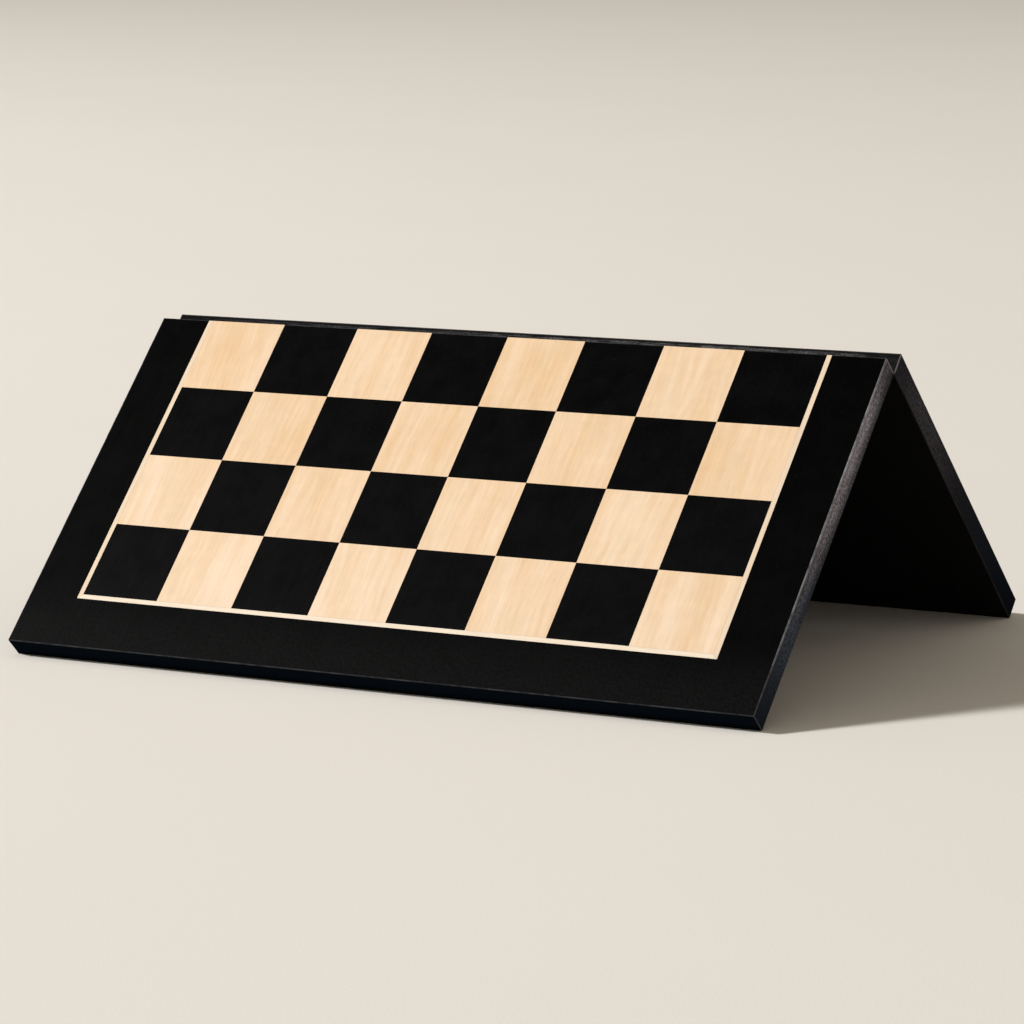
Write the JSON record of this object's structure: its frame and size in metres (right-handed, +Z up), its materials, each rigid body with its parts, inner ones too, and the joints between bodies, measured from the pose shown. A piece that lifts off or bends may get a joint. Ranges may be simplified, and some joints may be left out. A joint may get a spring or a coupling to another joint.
{
  "type": "folding chess board",
  "caption": "Folding chess and draughts board standing as a tent: veneered chequer, pale inlay strip and black border on two hinged halves that open flat or close back to back.",
  "frame": {"origin": "centre of the footprint, on the surface that the tent stands on", "axes": "+X along the ridge, to the right as seen from the front; +Y to the back; +Z up"},
  "size_m": [0.471, 0.3542, 0.1752],
  "materials": {
    "core_board": "black-dyed fibreboard with a matt sealed edge",
    "backing_sheet": "matt black sheet",
    "border_veneer": "satin black-dyed veneer",
    "dark_veneer": "satin black-dyed veneer",
    "light_veneer": "satin maple veneer",
    "inlay_strip": "satin pale wood strip",
    "hinge_leaf": "satin brass",
    "hinge_screw": "satin brass",
    "hinge_pin": "plain steel"
  },
  "bodies": {
    "front_half": {"front_backing_sheet": "backing_sheet", "front_border": "border_veneer", "front_core": "core_board", "front_dark_squares": "dark_veneer", "front_left_inlay": "inlay_strip", "front_outer_inlay": "inlay_strip", "front_right_inlay": "inlay_strip", "left_hinge_front_leaf": "hinge_leaf", "left_hinge_front_screw_1": "hinge_screw", "left_hinge_front_screw_2": "hinge_screw", "left_hinge_pin": "hinge_pin", "light_square_a2": "light_veneer", "light_square_a4": "light_veneer", "light_square_b1": "light_veneer", "light_square_b3": "light_veneer", "light_square_c2": "light_veneer", "light_square_c4": "light_veneer", "light_square_d1": "light_veneer", "light_square_d3": "light_veneer", "light_square_e2": "light_veneer", "light_square_e4": "light_veneer", "light_square_f1": "light_veneer", "light_square_f3": "light_veneer", "light_square_g2": "light_veneer", "light_square_g4": "light_veneer", "light_square_h1": "light_veneer", "light_square_h3": "light_veneer", "right_hinge_front_leaf": "hinge_leaf", "right_hinge_front_screw_1": "hinge_screw", "right_hinge_front_screw_2": "hinge_screw", "right_hinge_pin": "hinge_pin"},
    "rear_half": {"left_hinge_rear_leaf": "hinge_leaf", "left_hinge_rear_screw_1": "hinge_screw", "left_hinge_rear_screw_2": "hinge_screw", "light_square_a6": "light_veneer", "light_square_a8": "light_veneer", "light_square_b5": "light_veneer", "light_square_b7": "light_veneer", "light_square_c6": "light_veneer", "light_square_c8": "light_veneer", "light_square_d5": "light_veneer", "light_square_d7": "light_veneer", "light_square_e6": "light_veneer", "light_square_e8": "light_veneer", "light_square_f5": "light_veneer", "light_square_f7": "light_veneer", "light_square_g6": "light_veneer", "light_square_g8": "light_veneer", "light_square_h5": "light_veneer", "light_square_h7": "light_veneer", "rear_backing_sheet": "backing_sheet", "rear_border": "border_veneer", "rear_core": "core_board", "rear_dark_squares": "dark_veneer", "rear_left_inlay": "inlay_strip", "rear_outer_inlay": "inlay_strip", "rear_right_inlay": "inlay_strip", "right_hinge_rear_leaf": "hinge_leaf", "right_hinge_rear_screw_1": "hinge_screw", "right_hinge_rear_screw_2": "hinge_screw"}
  },
  "joints": [
    {"name": "fold", "type": "hinge", "parent": "front_half", "child": "rear_half", "pos_m": [0, 0, 0.16544], "axis": [1, 0, 0], "range_deg": [-90.6, 89.4]}
  ]
}
